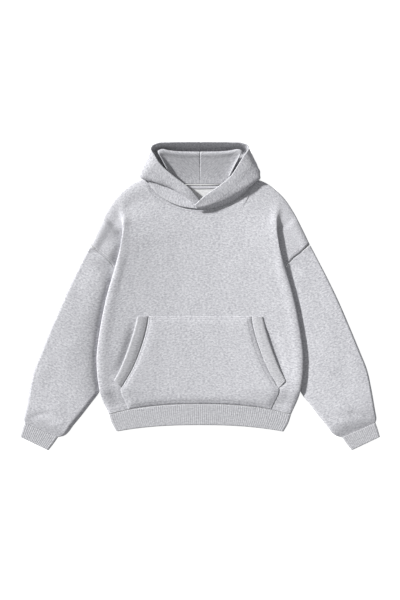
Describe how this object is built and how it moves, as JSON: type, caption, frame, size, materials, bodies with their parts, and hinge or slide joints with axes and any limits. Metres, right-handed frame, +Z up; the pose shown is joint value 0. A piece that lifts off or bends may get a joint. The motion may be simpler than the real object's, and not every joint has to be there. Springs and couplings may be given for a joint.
{
  "type": "pullover hoodie laid flat",
  "caption": "Oversized drop-shoulder pullover hoodie in thick fleece, laid flat face up, with a crossed-over lined hood, kangaroo pocket and rib hem, cuffs and pocket bands.",
  "frame": {"origin": "on the surface the hoodie lies on, under the middle of its outline", "axes": "+X across the garment to the viewer's right, cuff to cuff; +Y from the hem towards the hood; +Z up from the surface, out of the front of the garment"},
  "size_m": [1.042, 0.8921, 0.0371],
  "materials": {
    "fleece": "light grey melange jersey face, soft and matt",
    "hood_lining": "light grey melange jersey, soft and matt",
    "rib_knit": "grey melange rib knit, matt",
    "tape": "grey woven neck tape, matt"
  },
  "bodies": {
    "root": {"body_front": "fleece", "body_back": "fleece", "pocket": "fleece", "sleeve_left": "fleece", "sleeve_right": "fleece", "hood_left": "fleece", "hood_right": "fleece", "hood_lining_left": "hood_lining", "hood_lining_right": "hood_lining", "hem_rib": "rib_knit", "cuff_left": "rib_knit", "cuff_right": "rib_knit", "pocket_band_left": "rib_knit", "pocket_band_right": "rib_knit", "neck_tape": "tape"}
  },
  "joints": []
}
